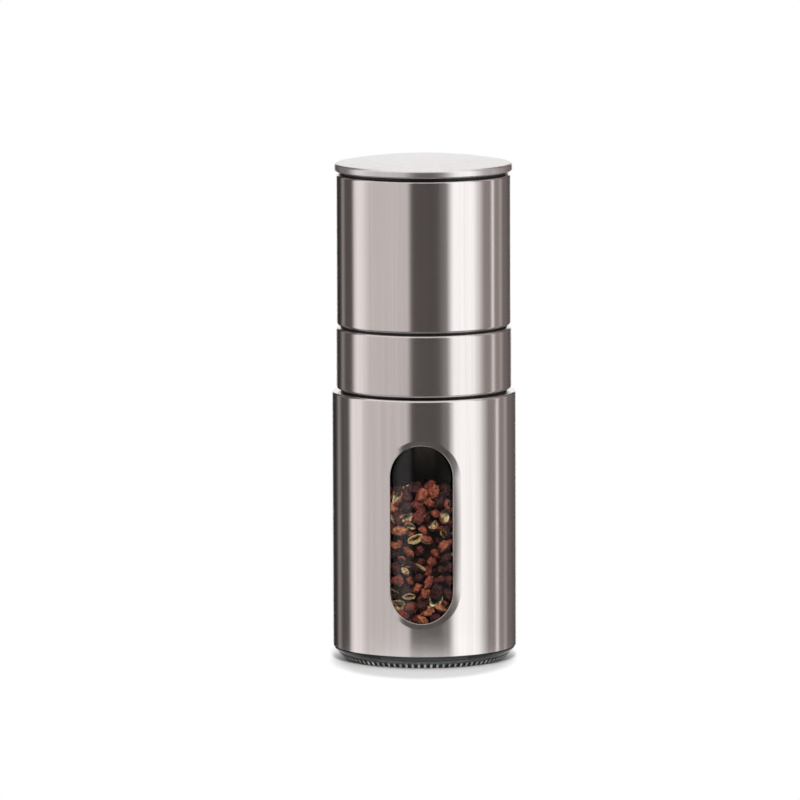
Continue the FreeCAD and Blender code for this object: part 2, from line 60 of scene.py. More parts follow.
# Steel sheets
columns = 360
sheet_wall = 0.6
sheet_edge = 0.8
turned_lip = 1.2
flange_radius = 21.2
arc_step = 7.5

# Lid
lid_wall = 0.5
lid_shoulder = 0.9
lid_hem = 0.5
lid_dome = 2.3
dome_steps = 40

# Window in the sleeve. The softness of the lip's crease is a share of the lip's width.
window_width = 17.4
window_height = 49.8
window_above_edge = 9.2
opening_relief = 0.35
lip_side = 2.9
lip_end = 1.4
lip_drop = 0.2
lip_softness = 0.12
bead_radius = 0.2

# Mesh round the window
patch_reach = 15.0
patch_margin = 4.0
arc_parts = 24
straight_parts = 36
side_parts = arc_parts + straight_parts
apron_parts = 4
crease_parts = 6
slope_parts = 5
bead_parts = 5

# Glass jar
glass_columns = 504
glass_row = 0.6
glass_wall = 2.4
glass_floor = 4.8
body_gap = 1.6
inside_radius = 3.0
foot_height = 3.7
foot_margin = 0.5
heel_width = 2.75
heel_height = 2.9
heel_radius = 1.4
heel_edge = 0.8
bearing_width = 3.0
bearing_edge = 0.1
punt_height = 1.8
punt_radius = 0.8
ledge_edge = 0.2
ledge_root = 0.3
shoulder_radius = 2.1
shoulder_top = 74.4
neck_radius = 19.4
neck_root = 0.5
neck_lip = 0.8

# Grooves pressed into the heel. Low on the heel, where their wave is below a share, pale opaque dashes
# are painted glints.
knurl_count = 84
knurl_depth = 0.5
knurl_bottom = 0.1
knurl_top = 2.0
knurl_fade_in = 0.6
knurl_fade_out = 0.7
glint_dash_top = 1.3
glint_dash_share = -0.4

# Screw ridge on the neck. Its fade is a share of a turn.
thread_height = 0.95
thread_half_width = 0.95
thread_lead = 4.0
thread_turns = 1.6
thread_start = 78.6
thread_fade = 0.12
thread_clear = 0.6
neck_tolerance = 0.01

# Spring under the inner burr
spring_wire = 0.9
spring_turns = 4
spring_sides = 16
spring_steps = 40

# Heap of peppercorns. A bias is the power that draws random places towards the low end. The core's
# waves are counted round it and up it, with their share, and its fullness and ends are powers.
pod_seed = 354
wall_pods = 460
heap_pods = 160
tries_per_pod = 40
pod_spacing = 2.75
wall_layer = 6.0
wall_bias = 1.6
front_half_angle = 62.0
mound_height = 3.0
mound_layer = 2.5
heap_sink = 1.4
heap_stray = 4.5
stray_bias = 3
heap_rise = 2.5
core_inset = 5.4
core_drop = 2.0
core_lump = 0.6
core_waves = ((9, 14, 0.5), (13, -19, 0.4))
core_fullness = 0.35
core_ends = 8
core_squash = 0.98
core_grid = (72, 48)

# Pods. A pair with a plural name is a range to draw from, and a grid counts the steps round and down.
# Widths, heights, wrinkles, waves and walls are shares of a pod's size. Phases are in radians.
pod_size = 4.3
pod_scales = (0.6, 1.1)
pod_grid = (32, 20)
pod_widths = (0.45, 0.85)
pod_heights = (0.55, 0.85)
pod_wrinkle = 0.2
seam_width = 0.16
seam_depth = 0.14
cup_share = 0.36
cup_stray = 0.8
cup_grid = (24, 9)
cup_mouths = (0.36, 0.5)
cup_widths = (0.4, 0.85)
cup_heights = (0.7, 1.0)
cup_wrinkle = 0.14
cup_wave = 0.12
cup_wall = 0.13
wave_reach = (-0.5, 0.6)
lump_waves = (2.5, 4.5, 7.0, 8.5)
lump_pitch = 1.7
lump_depth = 1.6
rib_count = 8
rib_depth = 0.45
full_phase = 6.3

# Loose seeds and stems
seed_count = 8
seed_sizes = (1.7, 2.2)
seed_grid = (16, 10)
seed_width = 0.9
seed_heights = (0.8, 0.95)
stem_count = 16
stem_lengths = (2.5, 5.0)
stem_grid = (8, 9)
stem_bends = (0.1, 0.35)
stem_girth = 0.18
stem_flare = 0.1
stem_knot = 0.04
stem_knots = 9
loose_depths = (1.2, 3.0)
loose_foot = 3.0
loose_head = 1.0

# Tones of the pods, from the dark end of their colours to the pale end
tone_low = 0.1
tone_high = 0.9
tone_bias = 1.6
core_tone = 0.2

# Camera, as it stands to the mill
camera_distance = 2190.5
camera_height = 348.9
camera_azimuth = 1.9
camera_aim = 70.0
camera_lens = 355.2
camera_sensor = 36.0
camera_shift = (-0.03, 0.0106)
camera_roll = -0.17

# Tent round the mill. Its levels of light are shares of white, and its folds are counted per degree.
tent_radius = 700.0
tent_bottom = -300.0
tent_top = 900.0
tent_half_angle = 162.0
tent_steps = 324
tent_dark = 0.035
fold_scale = 0.3
fold_depth = 0.06

# Table top and white surroundings
floor_radius = 42.0
floor_steps = 96
floor_drop = 0.1
floor_ahead = 9.0
floor_narrowing = 0.76
floor_tone = 0.46
floor_glow = 0.6
# The floor's painted glow fades in between these radii; inside them only the lamps' real shadow shows.
shadow_inner = 27.0
shadow_outer = 40.0
world_level = 0.55


def turned_size(node):
    """Radius, bottom and top of a turned CAD node."""
    low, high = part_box(node)
    return high.x / MM, low.z / MM, high.z / MM


# Outlines and meshes

def unit(vector):
    """A vector's direction, with a length of 1."""
    return vector / np.linalg.norm(vector)


def smooth_step(value, low, high):
    """0 below low, 1 above high, and smooth between."""
    share = np.clip((value - low) / (high - low), 0.0, 1.0)
    return share * share * (3 - 2 * share)


def corner_runs(start, normal, turn, rounding):
    """Runs round a corner's arc, from its start and the outline's normal there."""
    side = math.copysign(1.0, turn)
    centre = start - side * rounding * normal
    steps = max(2, math.ceil(abs(math.degrees(turn)) / arc_step))
    last = np.append(start, normal)
    runs = []
    for step in range(1, steps + 1):
        angle = turn * step / steps
        turned = np.array([
            normal[0] * math.cos(angle) - normal[1] * math.sin(angle),
            normal[0] * math.sin(angle) + normal[1] * math.cos(angle),
        ])
        point = np.append(centre + side * rounding * turned, turned)
        runs.append((last, point))
        last = point
    return runs


def outline_runs(corners):
    """Runs along an open outline, each a start and an end of (radius, height, and its normal).
    A corner is (radius, height), or (radius, height, rounding) for a rounded one. The outline goes
    round the material with the outside on its right."""
    points = [np.array(corner[:2], float) for corner in corners]
    runs = []
    here = points[0]
    for index in range(1, len(points)):
        ahead = unit(points[index] - here)
        normal = np.array([ahead[1], -ahead[0]])
        rounding = corners[index][2] if len(corners[index]) > 2 else 0.0
        if rounding == 0.0:
            runs.append((np.append(here, normal), np.append(points[index], normal)))
            here = points[index]
            continue
        after = unit(points[index + 1] - points[index])
        turn = math.atan2(ahead[0] * after[1] - ahead[1] * after[0], ahead.dot(after))
        start = points[index] - ahead * rounding * math.tan(abs(turn) / 2)
        runs.append((np.append(here, normal), np.append(start, normal)))
        runs.extend(corner_runs(start, normal, turn, rounding))
        here = runs[-1][1][:2]
    return runs


def divided(runs, longest):
    """The same runs, with the long ones cut into equal parts."""
    parts = []
    for start, end in runs:
        count = max(1, math.ceil(np.linalg.norm(end[:2] - start[:2]) / longest))
        cuts = [start + (end - start) * index / count for index in range(count + 1)]
        parts.extend(zip(cuts[:-1], cuts[1:]))
    return parts


def turned_grid(runs, count):
    """Points, normals and faces of an outline turned about Z. A ring on the axis is one point."""
    rings = [runs[0][0]] + [end for start, end in runs]
    points, normals, starts = [], [], []
    angles = 2 * math.pi * np.arange(count) / count
    for radius, height, across, up in rings:
        starts.append(len(points))
        for angle in angles if radius > tiny else angles[:1]:
            points.append((radius * math.cos(angle), radius * math.sin(angle), height))
            normals.append((across * math.cos(angle), across * math.sin(angle), up))
    starts.append(len(points))
    faces = []
    for ring in range(len(rings) - 1):
        here, above = starts[ring], starts[ring + 1]
        here_single = above - here == 1
        above_single = starts[ring + 2] - above == 1
        for column in range(count):
            following = (column + 1) % count
            if here_single:
                faces.append((here, above + following, above + column))
            elif above_single:
                faces.append((here + column, here + following, above))
            else:
                faces.append((here + column, here + following, above + following, above + column))
    return np.array(points), np.array(normals), faces


def thickened(points, normals, faces, backs, wall):
    """A sheet with a wall behind its outside, against the directions in backs: all points, faces, a
    normal per face corner, and the number of faces before those of the cut edges."""
    count = len(points)
    both = np.concatenate([points, points - backs * wall])
    skin = list(faces)
    corner_normals = [normals[point] for face in faces for point in face]
    for face in faces:
        back = tuple(point + count for point in reversed(face))
        skin.append(back)
        corner_normals.extend(-backs[point - count] for point in back)
    sides = dict.fromkeys(side for face in faces for side in zip(face, face[1:] + face[:1]))
    edges = []
    for first, last in sides:
        if (last, first) not in sides:
            edges.append((last, first, first + count, last + count))
            across = unit(np.cross(both[first] - both[last], both[first + count] - both[last]))
            corner_normals.extend([across] * 4)
    return both, skin + edges, corner_normals, len(skin)


def tube_faces(sides, steps):
    """Faces of a closed tube of rings, which turn counter-clockwise as seen along the tube."""
    faces = []
    for step in range(steps):
        here, ahead = step * sides, (step + 1) * sides
        for side in range(sides):
            following = (side + 1) % sides
            faces.append((here + side, ahead + side, ahead + following, here + following))
    faces.append(tuple(range(sides)))
    faces.append(tuple(reversed(range(steps * sides, (steps + 1) * sides))))
    return faces


def add_piece(name, points, faces, materials, face_materials=None, corner_normals=None):
    """A smooth mesh object at the origin, from points in millimetres."""
    mesh = bpy.data.meshes.new(name)
    mesh.from_pydata((np.asarray(points) * MM).tolist(), [], faces)
    mesh.polygons.foreach_set("use_smooth", [True] * len(mesh.polygons))
    for material in materials:
        mesh.materials.append(material)
    if face_materials is not None:
        mesh.polygons.foreach_set("material_index", face_materials)
    if corner_normals is not None:
        mesh.normals_split_custom_set([tuple(normal) for normal in corner_normals])
    piece = bpy.data.objects.new(name, mesh)
    bpy.context.scene.collection.objects.link(piece)
    return piece


def add_sheet(name, grid, wall, material):
    """A steel sheet with exact normals, whose cut edges are duller."""
    points, faces, corner_normals, skin_faces = thickened(*grid, wall)
    face_materials = [0] * skin_faces + [1] * (len(faces) - skin_faces)
    return add_piece(name, points, faces, [material, cut_steel], face_materials, corner_normals)


def turned_sheet(name, runs, wall, material):
    """A steel sheet that is turned about Z."""
    points, normals, faces = turned_grid(runs, columns)
    return add_sheet(name, (points, normals, faces, normals), wall, material)


# Materials

def new_material(name):
    """A node material, its tree and its shader."""
    material = bpy.data.materials.new(name)
    material.use_nodes = True
    return material, material.node_tree, material.node_tree.nodes["Principled BSDF"]


def feed(tree, node, sources):
    """Gives a node's sockets links or plain values, by name or number."""
    for socket, source in sources.items():
        if isinstance(source, bpy.types.NodeSocket):
            tree.links.new(source, node.inputs[socket])
        else:
            node.inputs[socket].default_value = source


def add_node(tree, kind, sources=None, **settings):
    """Outputs of a new shader node, with what feeds its sockets and its settings."""
    node = tree.nodes.new("ShaderNode" + kind)
    for name, value in settings.items():
        setattr(node, name, value)
    feed(tree, node, sources or {})
    return node.outputs


def calculate(tree, operation, *sources):
    """The result of an operation on links and plain numbers."""
    return add_node(tree, "Math", dict(enumerate(sources)), operation=operation)["Value"]


def noise(tree, scale, detail=3.0, roughness=0.55):
    """Noise in the object's own space. Scale is in cycles per metre along X, Y and Z."""
    place = add_node(tree, "TexCoord")["Object"]
    scaled = add_node(tree, "Mapping", {"Vector": place, "Scale": scale})["Vector"]
    return add_node(tree, "TexNoise", {
        "Vector": scaled, "Scale": 1.0, "Detail": detail, "Roughness": roughness,
    })["Fac"]


def ramp(tree, source, stops):
    """Colours along a value. A stop is (place, colour)."""
    node = tree.nodes.new("ShaderNodeValToRGB")
    elements = node.color_ramp.elements
    for end, (place, colour) in ((0, stops[0]), (1, stops[-1])):
        elements[end].position, elements[end].color = place, (*colour, 1.0)
    for place, colour in stops[1:-1]:
        elements.new(place).color = (*colour, 1.0)
    feed(tree, node, {"Fac": source})
    return node.outputs["Color"]


def remap(tree, source, start, end, low, high, course="LINEAR"):
    """A value that is low up to start, high from end on, and follows a course between."""
    return add_node(tree, "MapRange", {
        "Value": source, "From Min": start, "From Max": end, "To Min": low, "To Max": high,
    }, interpolation_type=course)["Result"]


def spread(tree, source, low, high):
    """A value spread from noise's middle range to low and high."""
    return remap(tree, source, 0.3, 0.7, low, high)


def bump(tree, source, strength, depth):
    """Normals with a bump of a depth in millimetres."""
    return add_node(tree, "Bump", {
        "Height": source, "Strength": strength, "Distance": depth * MM,
    })["Normal"]


def mixed(tree, share, first, second, manner="MIX"):
    """Two colours mixed by a share, through the Mix node's sockets for colours."""
    sources = {"Factor": share, 6: first, 7: second}
    return add_node(tree, "Mix", sources, data_type="RGBA", blend_type=manner)[2]


def dimmed(tone, share):
    """A share of a tone."""
    return tuple(share * part for part in tone)


def steel(name, line_scale, gloss, line_depth, tone, stretch=0.85):
    """Steel brushed round the axis, with reflections that are blurred along the height."""
    material, tree, shader = new_material(name)
    lines = noise(tree, (45.0, 45.0, line_scale), 4.0, 0.7)
    streaks = noise(tree, (800.0, 800.0, 10.0))
    bright = ramp(tree, lines, [(0.25, dimmed(tone, 0.95)), (0.75, tone)])
    worn = ramp(tree, streaks, [(0.35, dimmed(tone, 0.9)), (0.65, tone)])
    feed(tree, shader, {
        "Base Color": mixed(tree, spread(tree, lines, 0.5, 0.8), bright, worn),
        "Roughness": spread(tree, lines, gloss - 0.03, gloss + 0.03),
        "Metallic": 1.0,
        "Anisotropic": stretch,
        "Anisotropic Rotation": 0.25,
        "Tangent": add_node(tree, "Tangent", direction_type="RADIAL", axis="Z")["Tangent"],
        "Normal": bump(tree, lines, 0.35, line_depth),
    })
    return material


def plain_metal(name, tone, gloss, scale, depth):
    """Turned or drawn metal with fine marks."""
    material, tree, shader = new_material(name)
    marks = noise(tree, scale, 4.0, 0.65)
    feed(tree, shader, {
        "Base Color": ramp(tree, marks, [(0.3, dimmed(tone, 0.78)), (0.7, tone)]),
        "Roughness": spread(tree, marks, gloss - 0.06, gloss + 0.08),
        "Metallic": 1.0,
        "Normal": bump(tree, marks, 0.4, depth),
    })
    return material


def moulded(name, tone, gloss, grain, depth, variation=0.82):
    """Moulded or fired material with a fine grain and faint cloudiness."""
    material, tree, shader = new_material(name)
    fine = noise(tree, (grain,) * 3, 3.0, 0.6)
    cloud = noise(tree, (180.0,) * 3, 2.0)
    feed(tree, shader, {
        "Base Color": ramp(tree, cloud, [(0.32, dimmed(tone, variation)), (0.68, tone)]),
        "Roughness": spread(tree, fine, gloss - 0.07, gloss + 0.07),
        "Normal": bump(tree, fine, 0.5, depth),
    })
    return material


def soft_rubber():
    """Milky silicone."""
    material = moulded("silicone", (0.80, 0.80, 0.77), 0.5, 4000.0, 0.01, 0.93)
    feed(material.node_tree, material.node_tree.nodes["Principled BSDF"], {
        "Subsurface Weight": 0.3, "Subsurface Radius": (0.001, 0.001, 0.0009),
    })
    return material


def clear_glass(name, tone, shine):
    """Pressed glass with a faint green cast. Light from the lamps passes straight through."""
    material, tree, shader = new_material(name)
    ripple = noise(tree, (90.0, 90.0, 60.0), 2.0)
    feed(tree, shader, {
        "Base Color": ramp(tree, ripple, [(0.3, dimmed(tone, 0.97)), (0.7, tone)]),
        "Roughness": 0.02,
        "IOR": 1.45,
        "Specular Tint": (shine, shine, shine, 1.0),
        "Transmission Weight": 1.0,
        "Normal": bump(tree, ripple, 0.15, 0.05),
    })
    clear = add_node(tree, "BsdfTransparent", {"Color": (0.9, 0.93, 0.91, 1.0)})["BSDF"]
    shadow = add_node(tree, "LightPath")["Is Shadow Ray"]
    mix = add_node(tree, "MixShader", {0: shadow, 1: shader.outputs["BSDF"], 2: clear})["Shader"]
    feed(tree, tree.nodes["Material Output"], {"Surface": mix})
    return material


def husk(name, stops, gloss, depth):
    """Dry husk: each pod's tone along the stops, broken up by mottling, with painted shade in the pits of
    the wrinkles, which also bump it.
    """
    material, tree, shader = new_material(name)
    tone = add_node(tree, "Attribute", attribute_name="tone")["Fac"]
    mottle = noise(tree, (700.0,) * 3, 4.0, 0.65)
    wrinkle = noise(tree, (1000.0,) * 3, 4.0, 0.65)
    mottled = calculate(tree, "SUBTRACT", calculate(tree, "ADD", mottle, tone), 0.5)
    # Painted shade: the wrinkle noise darkens the husk's colour in its pits, where shade would fall.
    pit_shade = ramp(tree, wrinkle, [(0.38, (0.16, 0.13, 0.13)), (0.58, (1.0, 1.0, 1.0))])
    feed(tree, shader, {
        "Base Color": mixed(tree, 0.8, ramp(tree, mottled, stops), pit_shade, "MULTIPLY"),
        "Roughness": spread(tree, mottle, gloss - 0.1, gloss + 0.12),
        "Normal": bump(tree, wrinkle, 1.0, depth),
    })
    return material


polished_steel = steel("polished_steel", 5200.0, 0.2, 0.0025, (0.80, 0.765, 0.75))
brushed_steel = steel("brushed_steel", 6500.0, 0.24, 0.002, (0.79, 0.755, 0.74))
lid_steel = steel("lid_steel", 5200.0, 0.33, 0.002, (0.86, 0.835, 0.825), 0.2)
cut_steel = plain_metal("cut_steel", (0.52, 0.5, 0.49), 0.38, (900.0,) * 3, 0.01)
glass = clear_glass("glass", (0.93, 0.955, 0.94), 0.65)
# Painted shade: the foot is the same glass tinted near-black, for the shade that darkens it under the
# mill.
shaded_foot_glass = clear_glass("shaded_foot_glass", (0.13, 0.14, 0.138), 0.55)
# Painted glints: pale opaque dashes on the heel's low ridges.
glint_dash_glass = moulded("glint_dash_glass", (0.72, 0.73, 0.72), 0.3, 1200.0, 0.05, 0.25)
red_husk = husk("red_husk", [
    (0.0, (0.022, 0.01, 0.012)), (0.25, (0.085, 0.022, 0.021)), (0.5, (0.21, 0.045, 0.032)),
    (0.75, (0.4, 0.1, 0.055)), (1.0, (0.6, 0.24, 0.12)),
], 0.36, 0.7)
pale_husk = husk("pale_husk", [
    (0.0, (0.3, 0.18, 0.085)), (0.5, (0.6, 0.41, 0.21)), (1.0, (0.84, 0.66, 0.42)),
], 0.5, 0.3)
# Painted shade: a dark husk for the deepest part of a burst pod's inside.
shaded_cup_husk = husk("shaded_cup_husk", [
    (0.0, (0.03, 0.016, 0.009)), (0.5, (0.18, 0.1, 0.05)), (1.0, (0.44, 0.29, 0.15)),
], 0.6, 0.2)
stem_skin = husk("stem", [
    (0.0, (0.035, 0.02, 0.012)), (0.5, (0.13, 0.075, 0.035)), (1.0, (0.3, 0.2, 0.1)),
], 0.65, 0.08)
seed_skin = moulded("seed", (0.012, 0.011, 0.012), 0.22, 1500.0, 0.02, 0.5)
# Painted shade: the heap's inside is near-black, for the shade between the pods.
core_shade_skin = moulded("heap_inside_shade", (0.02, 0.008, 0.005), 0.8, 700.0, 0.4, 0.4)

# The heap's skins, and the number by which its faces name each of them
heap_skins = [red_husk, pale_husk, seed_skin, stem_skin, core_shade_skin, shaded_cup_husk]
red, pale, seed, stem, core, hollow = range(len(heap_skins))

node_materials = {
    "black_plastic": moulded("black_plastic", (0.024, 0.024, 0.026), 0.46, 3000.0, 0.02),
    "ceramic": moulded("ceramic", (0.86, 0.85, 0.80), 0.36, 2600.0, 0.03, 0.93),
    "silicone": soft_rubber(),
    "brass": plain_metal("brass", (0.76, 0.56, 0.24), 0.3, (500.0, 500.0, 3000.0), 0.01),
    "spring_steel": plain_metal("spring_steel", (0.42, 0.42, 0.43), 0.34, (600.0, 600.0, 2400.0), 0.01),
    "plain_steel": plain_metal("plain_steel", (0.58, 0.58, 0.58), 0.3, (300.0, 300.0, 3600.0), 0.01),
}


def dress_nodes(replaced):
    """Gives each CAD node that stays the material of its slot in the record."""
    for subpart in frame["record"]["subparts"]:
        if subpart["node"] in replaced:
            continue
        node = frame["nodes"][subpart["node"]]
        for slot in node.material_slots:
            slot.material = node_materials[subpart["material_slot"]]


# Steel pieces

def shell_piece(node, body, material):
    """Steel tube with both ends turned in, for the head and the collar."""
    radius, bottom, top = turned_size(node)
    lip = radius - turned_lip
    runs = outline_runs([
        (lip, bottom),
        (radius, bottom, sheet_edge),
        (radius, top, sheet_edge),
        (lip, top),
    ])
    piece = turned_sheet(node + "_skin", runs, sheet_wall, material)
    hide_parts(node)
    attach(piece, body)


def lid_runs(radius, bottom, top):
    """Outline of the lid: a rolled lower edge, an upright rim and a dome that is part of a ball."""
    rim_top = top - lid_dome
    ball = (radius ** 2 + lid_dome ** 2) / (2 * lid_dome)
    slope = math.asin(radius / ball)
    reach = lid_shoulder * math.tan((math.pi / 2 - slope) / 2)
    inset = reach * (1 + math.cos(slope))
    runs = outline_runs([
        (radius - 2 * lid_hem, bottom),
        (radius, bottom, lid_hem),
        (radius, rim_top, lid_shoulder),
        (radius - inset, rim_top + inset * math.tan(slope)),
    ])
    last = runs[-1][1]
    first_angle = math.asin(last[0] / ball)
    for step in range(1, dome_steps + 1):
        angle = first_angle * (1 - step / dome_steps)
        across, up = math.sin(angle), math.cos(angle)
        point = np.array([ball * across, top - ball + ball * up, across, up])
        runs.append((last, point))
        last = point
    return runs


def lid_piece():
    """Domed lid with an upright rim."""
    piece = turned_sheet("lid_dome", lid_runs(*turned_size("lid_cap")), lid_wall, lid_steel)
    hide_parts("lid_cap")
    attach(piece, "lid")


def window_ring(side_grow, end_grow):
    """Points round the window's outline as (arc, height), from its lower left, counter-clockwise."""
    bottom = turned_size("steel_sleeve")[1] + window_above_edge
    half = window_width / 2 + side_grow
    lower = bottom - end_grow + half
    upper = bottom + window_height + end_grow - half
    quarter = np.linspace(0, math.pi / 2, arc_parts + 1)
    eighth = np.linspace(0, math.pi / 4, arc_parts // 2 + 1)
    straight = np.linspace(lower, upper, straight_parts + 1)

    def arc(height, start, turns):
        angles = start * math.pi + turns[:-1]
        return [(half * math.cos(angle), height + half * math.sin(angle)) for angle in angles]

    ring = arc(lower, 1.25, quarter) + arc(lower, 1.75, eighth)
    ring += [(half, height) for height in straight[:-1]]
    ring += arc(upper, 0.0, eighth) + arc(upper, 0.25, quarter) + arc(upper, 0.75, eighth)
    ring += [(-half, height) for height in straight[:0:-1]]
    ring += arc(lower, 1.0, eighth)
    return np.array(ring)


def sleeve_arcs(radius):
    """Columns round the sleeve as lengths of arc: those of the window's patch, then the others."""
    patch_columns = np.linspace(-patch_reach, patch_reach, arc_parts + 1)
    far = 2 * math.pi * radius - patch_reach
    other_columns = np.linspace(patch_reach, far, columns - arc_parts + 1)[1:-1]
    return np.concatenate([patch_columns, other_columns])


def sleeve_rows(radius, bottom, top):
    """Rows up the sleeve and over its turned-in top, as (radius, height, and its normal)."""
    patch_bottom = bottom + window_above_edge - patch_margin
    patch_top = bottom + window_above_edge + window_height + patch_margin
    heights = [bottom, *np.linspace(patch_bottom, patch_top, side_parts + 1)]
    runs = outline_runs([(radius, patch_top), (radius, top, sheet_edge), (flange_radius, top)])
    return [(radius, height, 1.0, 0.0) for height in heights] + [tuple(end) for start, end in runs]


def patch_border():
    """The grid's (row, column) places round the patch, in the order of the window's outline."""
    border = [(1, column) for column in range(arc_parts)]
    border += [(row, arc_parts) for row in range(1, side_parts + 1)]
    border += [(side_parts + 1, column) for column in range(arc_parts, 0, -1)]
    border += [(row, 0) for row in range(side_parts + 1, 1, -1)]
    return border


def lip_rings(edge_places):
    """Rings from the patch's border to the window's edge: places on the sheet, drop, fall over the lip's
    width and turn of the bead. With them, the directions inwards and the lip's widths."""
    opening = window_ring(bead_radius + opening_relief, bead_radius)
    crease = window_ring(lip_side, lip_end)
    across = opening - crease
    widths = np.linalg.norm(across, axis=1)
    inwards = across / widths[:, None]
    soft_edge = crease - across * lip_softness
    rings = []
    for step in range(1, apron_parts + 1):
        rings.append((edge_places + (soft_edge - edge_places) * step / apron_parts, 0.0, 0.0, 0.0))
    for share in np.linspace(-lip_softness, lip_softness, crease_parts + 1)[1:]:
        drop = lip_drop * (share + lip_softness) ** 2 / (4 * lip_softness)
        fall = lip_drop * (share + lip_softness) / (2 * lip_softness)
        rings.append((crease + across * share, drop, fall, 0.0))
    for share in np.linspace(lip_softness, 1.0, slope_parts + 1)[1:]:
        rings.append((crease + across * share, lip_drop * share, lip_drop, 0.0))
    for turn in np.linspace(0.0, math.pi / 2, bead_parts + 1)[1:]:
        places = opening + inwards * bead_radius * math.sin(turn)
        rings.append((places, lip_drop + bead_radius * (1 - math.cos(turn)), lip_drop, turn))
    return rings, inwards, widths


def lip_point(radius, place, drop, inward, lean, turn):
    """A point on the lip, its normal and the direction that its wall goes against."""
    arc, height = place
    out = np.array([math.sin(arc / radius), -math.cos(arc / radius), 0.0])
    side = np.array([-out[1] * inward[0], out[0] * inward[0], inward[1]])
    point = (radius - drop) * out + np.array([0.0, 0.0, height])
    normal = out * math.cos(lean + turn) + side * math.sin(lean + turn)
    back = out * math.cos(lean) + side * math.sin(lean)
    return point, normal, back


def sleeve_grid():
    """Outside of the sleeve: a grid round the cylinder with a patch of rings round the window."""
    radius, bottom, top = turned_size("steel_sleeve")
    arcs = sleeve_arcs(radius)
    rows = sleeve_rows(radius, bottom, top)
    points, normals, faces, index = [], [], [], {}
    for row, (ring_radius, height, across, up) in enumerate(rows):
        for column, arc in enumerate(arcs):
            if 1 < row < side_parts + 1 and 0 < column < arc_parts:
                continue
            sine, cosine = math.sin(arc / radius), math.cos(arc / radius)
            index[(row, column)] = len(points)
            points.append((ring_radius * sine, -ring_radius * cosine, height))
            normals.append((across * sine, -across * cosine, up))
    for row in range(len(rows) - 1):
        for column in range(len(arcs)):
            if 1 <= row < side_parts + 1 and column < arc_parts:
                continue
            following = (column + 1) % len(arcs)
            corners = ((row, column), (row, following), (row + 1, following), (row + 1, column))
            faces.append(tuple(index[corner] for corner in corners))
    backs = list(normals)
    border = patch_border()
    last = [index[corner] for corner in border]
    edge_places = np.array([(arcs[column], rows[row][1]) for row, column in border])
    rings, inwards, widths = lip_rings(edge_places)
    for places, drop, fall, turn in rings:
        ring = range(len(points), len(points) + len(border))
        for place, inward, width in zip(places, inwards, widths):
            point, normal, back = lip_point(radius, place, drop, inward, math.atan(fall / width), turn)
            points.append(point)
            normals.append(normal)
            backs.append(back)
        for step in range(len(ring)):
            following = (step + 1) % len(ring)
            faces.append((last[step], last[following], ring[following], ring[step]))
        last = ring
    return np.array(points), np.array(normals), faces, np.array(backs)


def sleeve_piece():
    """Sleeve of drawn steel sheet with the pressed lip round its window."""
    piece = add_sheet("sleeve_skin", sleeve_grid(), sheet_wall, polished_steel)
    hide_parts("steel_sleeve")
    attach(piece, "jar")


def spring_piece():
    """Coil spring in the place of the CAD spring, under the inner burr."""
    outer, bottom, top = turned_size("burr_spring")
    coil_radius = outer - spring_wire / 2
    rise = (top - bottom - spring_wire) / spring_turns
    steps = spring_turns * spring_steps
    points = []
    for step in range(steps + 1):
        turn = 2 * math.pi * step / spring_steps
        height = bottom + spring_wire / 2 + rise * step / spring_steps
        away = np.array([math.cos(turn), math.sin(turn), 0.0])
        along = np.array([-math.sin(turn), math.cos(turn), rise / (2 * math.pi * coil_radius)])
        across = np.cross(away, unit(along))
        centre = coil_radius * away + np.array([0.0, 0.0, height])
        for side in range(spring_sides):
            angle = 2 * math.pi * side / spring_sides
            points.append(centre + spring_wire / 2 * (math.cos(angle) * away + math.sin(angle) * across))
    faces = tube_faces(spring_sides, steps)
    piece = add_piece("spring_coil", points, faces, [node_materials["spring_steel"]])
    piece.data.set_sharp_from_angle(angle=math.radians(sharp_angle))
    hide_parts("burr_spring")
    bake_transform(piece)


# Glass jar

def knurl_cut(angle, height):
    """Depth of the grooves that are pressed into the heel."""
    rising = smooth_step(height, knurl_bottom, knurl_bottom + knurl_fade_in)
    ending = smooth_step(height, knurl_top - knurl_fade_out, knurl_top)
    band = rising * (1 - ending)
    return knurl_depth * band * (0.5 + 0.5 * np.cos(knurl_count * angle))


def thread_rise(angle, height):
    """Height of the screw ridge on the neck, which fades in and out at its two ends."""
    turn = (angle / (2 * math.pi)) % 1.0
    rise = np.zeros_like(height)
    for lap in range(math.ceil(thread_turns)):
        along = turn + lap
        rising = smooth_step(along, 0.0, thread_fade)
        ending = smooth_step(along, thread_turns - thread_fade, thread_turns)
        away = np.abs(height - thread_start - thread_lead * along) / thread_half_width
        ridge = 0.5 + 0.5 * np.cos(math.pi * np.clip(away, 0.0, 1.0))
        rise = np.maximum(rise, rising * (1 - ending) * ridge)
    return thread_height * rise


def jar_runs(bearing, foot_radius, bottom, top):
    """Outline of the jar, from the middle of its underside round the outside and down the inside."""
    body_radius = turned_size("steel_sleeve")[0] - body_gap
    inner_radius = body_radius - glass_wall
    bore_radius = neck_radius - glass_wall
    inner_shoulder = shoulder_top - glass_wall
    return outline_runs([
        (0, punt_height),
        (bearing - bearing_width, punt_height, punt_radius),
        (bearing - bearing_width, bottom, bearing_edge),
        (bearing, bottom, heel_radius),
        (foot_radius, heel_height, heel_edge),
        (foot_radius, foot_height, ledge_edge),
        (body_radius, foot_height, ledge_root),
        (body_radius, shoulder_top, shoulder_radius),
        (neck_radius, shoulder_top, neck_root),
        (neck_radius, top, neck_lip),
        (bore_radius, top, neck_lip),
        (bore_radius, inner_shoulder, neck_root),
        (inner_radius, inner_shoulder, shoulder_radius),
        (inner_radius, glass_floor, inside_radius),
        (0, glass_floor),
    ])


